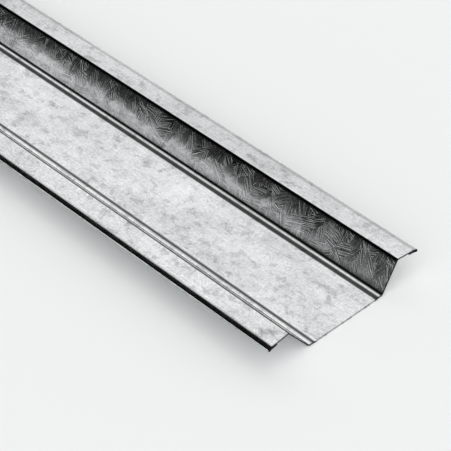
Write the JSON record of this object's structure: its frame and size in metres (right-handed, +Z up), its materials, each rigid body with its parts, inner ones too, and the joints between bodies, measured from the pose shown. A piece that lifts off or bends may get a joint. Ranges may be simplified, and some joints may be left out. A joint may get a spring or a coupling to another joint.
{
  "type": "hat channel",
  "caption": "Shallow hat-section channel of galvanised sheet steel, open side up, with hemmed flanges and a stepped crown, for fixing boards to walls and ceilings.",
  "frame": {"origin": "on the floor, in the middle of the length and of the width", "axes": "+X along the stock, +Y across it towards one flange, +Z up, out of the open side"},
  "size_m": [2.6, 0.07, 0.012],
  "materials": {
    "galvanised_sheet": "hot-dip zinc coating with a feathery spangle, dull bright"
  },
  "bodies": {
    "root": {"hat_channel": "galvanised_sheet"}
  },
  "joints": []
}
